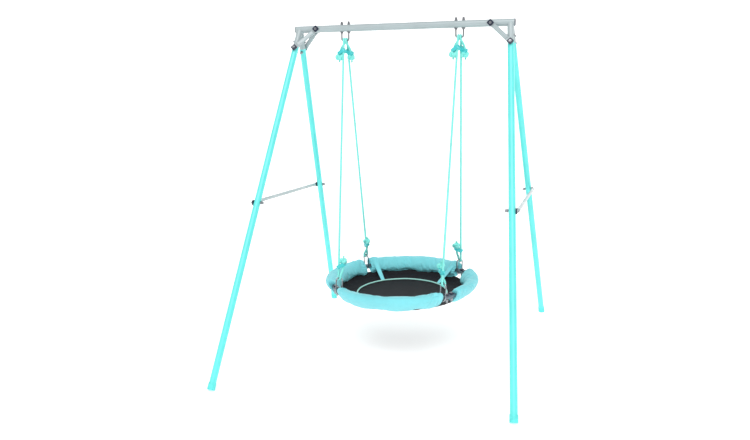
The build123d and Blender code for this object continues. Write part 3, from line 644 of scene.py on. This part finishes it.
def settle(cover, name):
    """A short cloth run: the cover swells over its foam, held at its hems and where it is sewn down."""
    start, span, _, drawn_at, apart = SLEEVES[name]
    length = math.radians(span) * SLEEVE_RADIUS
    before = positions(cover.data)
    held = cover.vertex_groups.new(name="held")
    outward = 0.0
    normals = [vertex.normal for vertex in cover.data.vertices]
    for index, (x, y, z) in enumerate(before):
        angle = (math.degrees(math.atan2(y, x)) - start + 90) % 360 - 90
        place = math.radians(angle) * SLEEVE_RADIUS
        out, rise = math.hypot(x, y) - SLEEVE_RADIUS, z - SLEEVE_Z
        down = -out * math.sin(SLEEVE_LEAN) - rise * math.cos(SLEEVE_LEAN)
        drawn = math.cos(2 * math.pi * (place - drawn_at) / apart)
        outward += normals[index].dot(Vector((x, y, z)) - Vector(sleeve_centre(start + angle)))
        if min(place, length - place) < 0.009:
            held.add([index], 1.0, "REPLACE")
        elif down > 0.036 and drawn > 0.8:
            held.add([index], 0.9, "REPLACE")
    cloth = cover.modifiers.new("swell", "CLOTH")
    settings = cloth.settings
    settings.quality = 5
    settings.mass = 0.2
    settings.tension_stiffness = 18
    settings.compression_stiffness = 18
    settings.shear_stiffness = 6
    settings.bending_stiffness = 0.12
    settings.shrink_min = -0.05
    settings.use_pressure = True
    settings.uniform_pressure_force = math.copysign(4.0, outward)
    settings.effector_weights.gravity = 0
    settings.vertex_group_mass = "held"
    cloth.point_cache.frame_start = 1
    cloth.point_cache.frame_end = 20
    for frame_number in range(1, 21):
        bpy.context.scene.frame_set(frame_number)
    shown = cover.evaluated_get(bpy.context.evaluated_depsgraph_get()).to_mesh()
    moved = positions(shown) - before
    size = np.linalg.norm(moved, axis=1)
    print("cover", name, "moved", round(float(size.mean()), 4), round(float(size.max()), 4))
    capped = np.tanh(size / COVER_TRAVEL) * COVER_TRAVEL / np.maximum(size, 1e-9)
    after = before + moved * capped[:, None]
    cover.modifiers.remove(cloth)
    cover.vertex_groups.remove(held)
    bpy.context.scene.frame_set(1)
    cover.data.vertices.foreach_set("co", after.astype(np.float32).ravel())
    cover.data.update()


covers = {}


def keep_cover(cover, name):
    """Remembers the settled cover, so that hems, straps and seams can lie on it."""
    points = [vertex.co.copy() for vertex in cover.data.vertices]
    covers[name] = BVHTree.FromPolygons(points, [tuple(face.vertices) for face in cover.data.polygons])


def on_cover(name, turn, share, lift):
    """The place on the settled cover nearest to a point of its pattern, lifted off it a little."""
    centre = sleeve_centre(SLEEVES[name][0] + SLEEVES[name][1] * share)
    aim = sleeve_point(name, turn, share)
    hit = covers[name].ray_cast(Vector(centre), Vector(unit(aim - centre)))[0]
    found = aim if hit is None else np.array(hit)
    if np.linalg.norm(found - aim) > 1.5 * COVER_TRAVEL:
        found = aim
    return found + unit(aim - centre) * lift


def section_loop(name, share, lift):
    """A closed line round a sleeve, a little above its surface."""
    return np.array([on_cover(name, turn, share, lift) for turn in np.linspace(0, 2 * math.pi, 121)])


def hem_band(name, share, width_share):
    """The doubled hem near a sleeve's end, as a flat band standing a little proud."""
    rows = []
    for across, lift in ((0, 0.0002), (0.04, 0.0014), (0.5, 0.0018), (0.96, 0.0014), (1, 0.0002)):
        rows.append(section_loop(name, share + width_share * across, lift)[:-1])
    return surface(f"hem_{name}", rows, hem_cloth, wrap=(False, True), spans=(0.022, 0.31))


def stitches(name, line, material, spacing=0.0072, size=0.0005, reach=0.0044):
    """A row of separate stitches along a line."""
    points, at = resampled(line, spacing / 2)
    made = []
    for k in range(0, len(points) - 1, 2):
        ahead = unit(points[k + 1] - points[k])
        half = ahead * reach / 2
        made.append((points[k] - half, points[k] + half))
    grids = []
    for start, finish in made:
        line_points = np.array([start, (start + finish) / 2, finish])
        _, u, v = frames_along(line_points)
        turn = np.linspace(0, 2 * math.pi, 5, endpoint=False)
        radii = np.array([0.45, 1.0, 0.45]) * size
        grids.append(
            line_points[:, None]
            + radii[:, None, None]
            * (np.cos(turn)[None, :, None] * u[:, None] + np.sin(turn)[None, :, None] * v[:, None])
        )
    vertices, faces = [], []
    for grid in grids:
        base = len(vertices)
        vertices += grid.reshape(-1, 3).tolist()
        for i in range(2):
            for j in range(5):
                after = (j + 1) % 5
                low, high = base + i * 5, base + (i + 1) * 5
                faces.append((low + j, high + j, high + after, low + after))
    mesh = bpy.data.meshes.new(name)
    mesh.from_pydata(vertices, [], faces)
    mesh.polygons.foreach_set("use_smooth", [True] * len(faces))
    mesh.materials.append(material)
    piece = bpy.data.objects.new(name, mesh)
    bpy.context.scene.collection.objects.link(piece)
    return piece


def seat_piece(piece, *nodes, slot):
    """Turns a piece that was made on the level seat to the seat's tilt, and lets it ride there."""
    piece.data.transform(SEAT_TURN)
    return finish_piece(piece, "swing", *nodes, slot=slot)


for name in SLEEVES:
    sleeve = make_sleeve(name)
    length = math.radians(SLEEVES[name][1]) * SLEEVE_RADIUS
    settle(sleeve, name)
    keep_cover(sleeve, name)
    smoother = sleeve.modifiers.new("smoother", "SUBSURF")
    smoother.levels = 1
    smoother.render_levels = 1
    seat_piece(sleeve, f"sleeve_{name}", slot="sleeve_fabric")
    trims = []
    for share, sign in ((HEM_INSET / length, 1), (1 - HEM_INSET / length, -1)):
        trims.append(hem_band(name, share, sign * HEM_WIDTH / length))
        for inset in (0.0055, 0.0205):
            loop = section_loop(name, share + sign * inset / length, 0.0019)
            trims.append(stitches(f"stitch_{name}", loop, stitch_thread))
    # a double-stitched closing seam runs along the outer lower face
    for turn in (math.radians(-38), math.radians(-46)):
        seam = []
        for share in np.linspace(0.06, 0.94, 160):
            seam.append(on_cover(name, turn, share, 0.0006))
        trims.append(stitches(f"seam_{name}", seam, stitch_thread))
    trim = joined(f"sleeve_trim_{name}", trims)
    seat_piece(trim, slot="sleeve_fabric")

# ---------------------------------------------------------------- mat, wall and piping
MAT_RADIUS = 0.289
MAT_TOP = 0.340


def mat_height(x, y):
    radius = math.hypot(x, y)
    share = radius / MAT_RADIUS
    sag = -0.0075 * (1 - share**2)
    pull = noise.noise(Vector((x * 6, y * 6, 4.0))) * 0.0026 * (1 - share**4)
    angle = math.atan2(y, x)
    edge = 0.0012 * math.cos(angle * 24 + 3 * noise.noise(Vector((x * 3, y * 3, 9)))) * share**6
    return MAT_TOP - 0.0006 + sag + pull + edge


rings = []
for radius in np.concatenate([[0.0005], np.linspace(0.008, 0.2865, 90)]):
    ring = []
    for angle in np.linspace(0, 2 * math.pi, 216, endpoint=False):
        x, y = radius * math.cos(angle), radius * math.sin(angle)
        ring.append((x, y, mat_height(x, y)))
    rings.append(ring)
mat = surface("woven_mat", rings, mat_cloth, wrap=(False, True))
for loop, corner in zip(mat.data.loops, mat.data.uv_layers[0].data):
    corner.uv = mat.data.vertices[loop.vertex_index].co.xy
seat_piece(mat, "mat", slot="mat_fabric")

# The side: drawn up to the sleeves, with small pleats evenly round it
rows = []
for share in np.linspace(0, 1, 40):
    row = []
    for angle in np.linspace(0, 360, 433)[:-1]:
        turn = math.radians(angle)
        wave = noise.noise(Vector((math.cos(turn) * 6, math.sin(turn) * 6, share * 0.9)))
        pleat = math.cos(math.radians(angle) * 36 + 2.5 * wave)
        belly = math.sin(math.pi * share)
        radius = 0.286 + (0.402 - 0.286) * share + 0.0015 * wave * belly
        height = 0.3400 + 0.0165 * share - 0.0035 * belly + 0.0022 * wave * belly + 0.0008 * pleat * share
        # its edge turns up behind the lower edge of the sleeves
        height += 0.022 * max(0.0, (share - 0.72) / 0.28) ** 2
        row.append(out_at(angle) * radius + UP * height)
    rows.append(row)
wall = surface("mat_side", rows, mat_cloth, wrap=(False, True), spans=(0.115, 2.16))
seat_piece(wall, "mat_wall", slot="mat_fabric")

binding = []
for angle in np.linspace(0, 360, 361):
    turn = math.radians(angle)
    wobble = 0.0012 * noise.noise(Vector((math.cos(turn) * 4, math.sin(turn) * 4, 2.0)))
    binding.append(out_at(angle) * (0.2798 + wobble) + UP * (0.3446 + wobble * 0.5))
piping = tube("mat_piping", np.array(binding), 0.0046, piping_cloth, sides=12)
seat_piece(piping, "mat_binding", slot="binding_fabric")

# ---------------------------------------------------------------- straps
STRAPS = ((50.6, "rear"), (129.4, "rear"), (230.6, "front"), (309.4, "front"))
FOOT = (0.2905, 0.3432)
# across the strap: the place, and the height above the cover
STRAP_SECTION = (
    (-1.0, 0.0009),
    (-0.97, 0.0030),
    (-0.5, 0.0033),
    (0, 0.0034),
    (0.5, 0.0033),
    (0.97, 0.0030),
    (1.0, 0.0009),
)
strap_pieces = []
for angle, holder in STRAPS:
    start, span = SLEEVES[holder][:2]
    half = 2.45 / span
    share = (angle - start) / span
    over_top = np.linspace(math.radians(196), math.radians(112), 34)

    def strap_line(at, lift):
        here = start + span * at
        line = [on_cover(holder, turn, at, lift) for turn in over_top]
        foot = out_at(here) * FOOT[0] + UP * (FOOT[1] + lift)
        last = line[-1]
        for step in np.linspace(0.05, 1, 20):
            slack = UP * -0.0035 * math.sin(math.pi * step)
            line.append(last + (foot - last) * step + slack)
        return line

    faces = []
    for offset, lift in STRAP_SECTION:
        faces.append(strap_line(share + half * offset, lift))
    for offset in (0.97, -0.97):
        faces.append(strap_line(share + half * offset, 0.0007))
    strap_pieces.append(surface(f"strap_{holder}", faces, hem_cloth, wrap=(True, False), spans=(0.075, 0.27)))
    for side in (-0.72, 0.72):
        strap_pieces.append(stitches("strap_stitch", strap_line(share + half * side, 0.0036), stitch_thread))
straps = joined("webbing_straps", strap_pieces)
seat_piece(straps, "mat_straps", slot="sleeve_fabric")

# ---------------------------------------------------------------- studio
# A paper sweep: flat under the swing, curving up far out behind it and falling away at the sides
profile = [(0.5, 0), (4, 0), (9, 0)]
for turn in np.linspace(0.1, math.pi / 2, 14):
    profile.append((9 + 6 * math.sin(turn), 6 - 6 * math.cos(turn)))
profile.append((15, 10))
around = np.linspace(0, 2 * math.pi, 72, endpoint=False)
rise = [min(1.0, max(0.0, 1.6 * math.sin(a)) ** 2) for a in around]
sweep_points = [
    (r * math.cos(a), r * math.sin(a), z * high) for r, z in profile for a, high in zip(around, rise)
]
sweep_faces = [tuple(range(72))]
for row in range(len(profile) - 1):
    for k in range(72):
        after = (k + 1) % 72
        sweep_faces.append((row * 72 + k, row * 72 + 72 + k, row * 72 + 72 + after, row * 72 + after))
floor_mesh = bpy.data.meshes.new("floor")
floor_mesh.from_pydata(sweep_points, [], sweep_faces)
floor_mesh.shade_smooth()
floor = bpy.data.objects.new("floor", floor_mesh)
bpy.context.scene.collection.objects.link(floor)
paper = Nodes("studio_paper")
floor_mesh.materials.append(
    paper.finish(
        paper.ramp(paper.noise(2.0), [(0.3, (0.93, 0.93, 0.93)), (0.7, (0.95, 0.95, 0.95))]),
        paper.range(paper.noise(40.0), 0.75, 0.9),
        Emission_Color=(1, 1, 1, 1),
        Emission_Strength=0.42,
    )
)

world = bpy.data.worlds.new("studio")
bpy.context.scene.world = world
world.use_nodes = True
world.node_tree.nodes["Background"].inputs["Color"].default_value = (1.0, 1.0, 1.0, 1)
world.node_tree.nodes["Background"].inputs["Strength"].default_value = 0.58

sun = bpy.data.lights.new("soft_key", "SUN")
sun.energy = 1.7
sun.angle = math.radians(38)
key = bpy.data.objects.new("soft_key", sun)
key.rotation_euler = Vector((-0.6, 3.8, -4.4)).to_track_quat("-Z", "Y").to_euler()
bpy.context.scene.collection.objects.link(key)

camera_data = bpy.data.cameras.new("photo_camera")
camera_data.sensor_width = 36
camera_data.lens = 35.85
camera_data.shift_x = -0.004
camera_data.clip_end = 200
camera = bpy.data.objects.new("photo_camera", camera_data)
yaw, pitch, roll = 0.2783, 0.1544, -0.0069
forward = np.array([-math.sin(yaw) * math.cos(pitch), math.cos(yaw) * math.cos(pitch), -math.sin(pitch)])
right = np.array([math.cos(yaw), math.sin(yaw), 0])
upward = np.cross(right, forward)
rolled_right = math.cos(roll) * right + math.sin(roll) * upward
rolled_up = math.cos(roll) * upward - math.sin(roll) * right
place = (1.1052, -4.3968, 1.5046)
camera.matrix_world = Matrix(
    [[rolled_right[k], rolled_up[k], -forward[k], place[k]] for k in range(3)] + [[0, 0, 0, 1]]
)
bpy.context.scene.collection.objects.link(camera)
bpy.context.scene.camera = camera
bpy.context.scene.view_settings.view_transform = "Standard"
bpy.context.scene.view_settings.exposure = 0.0
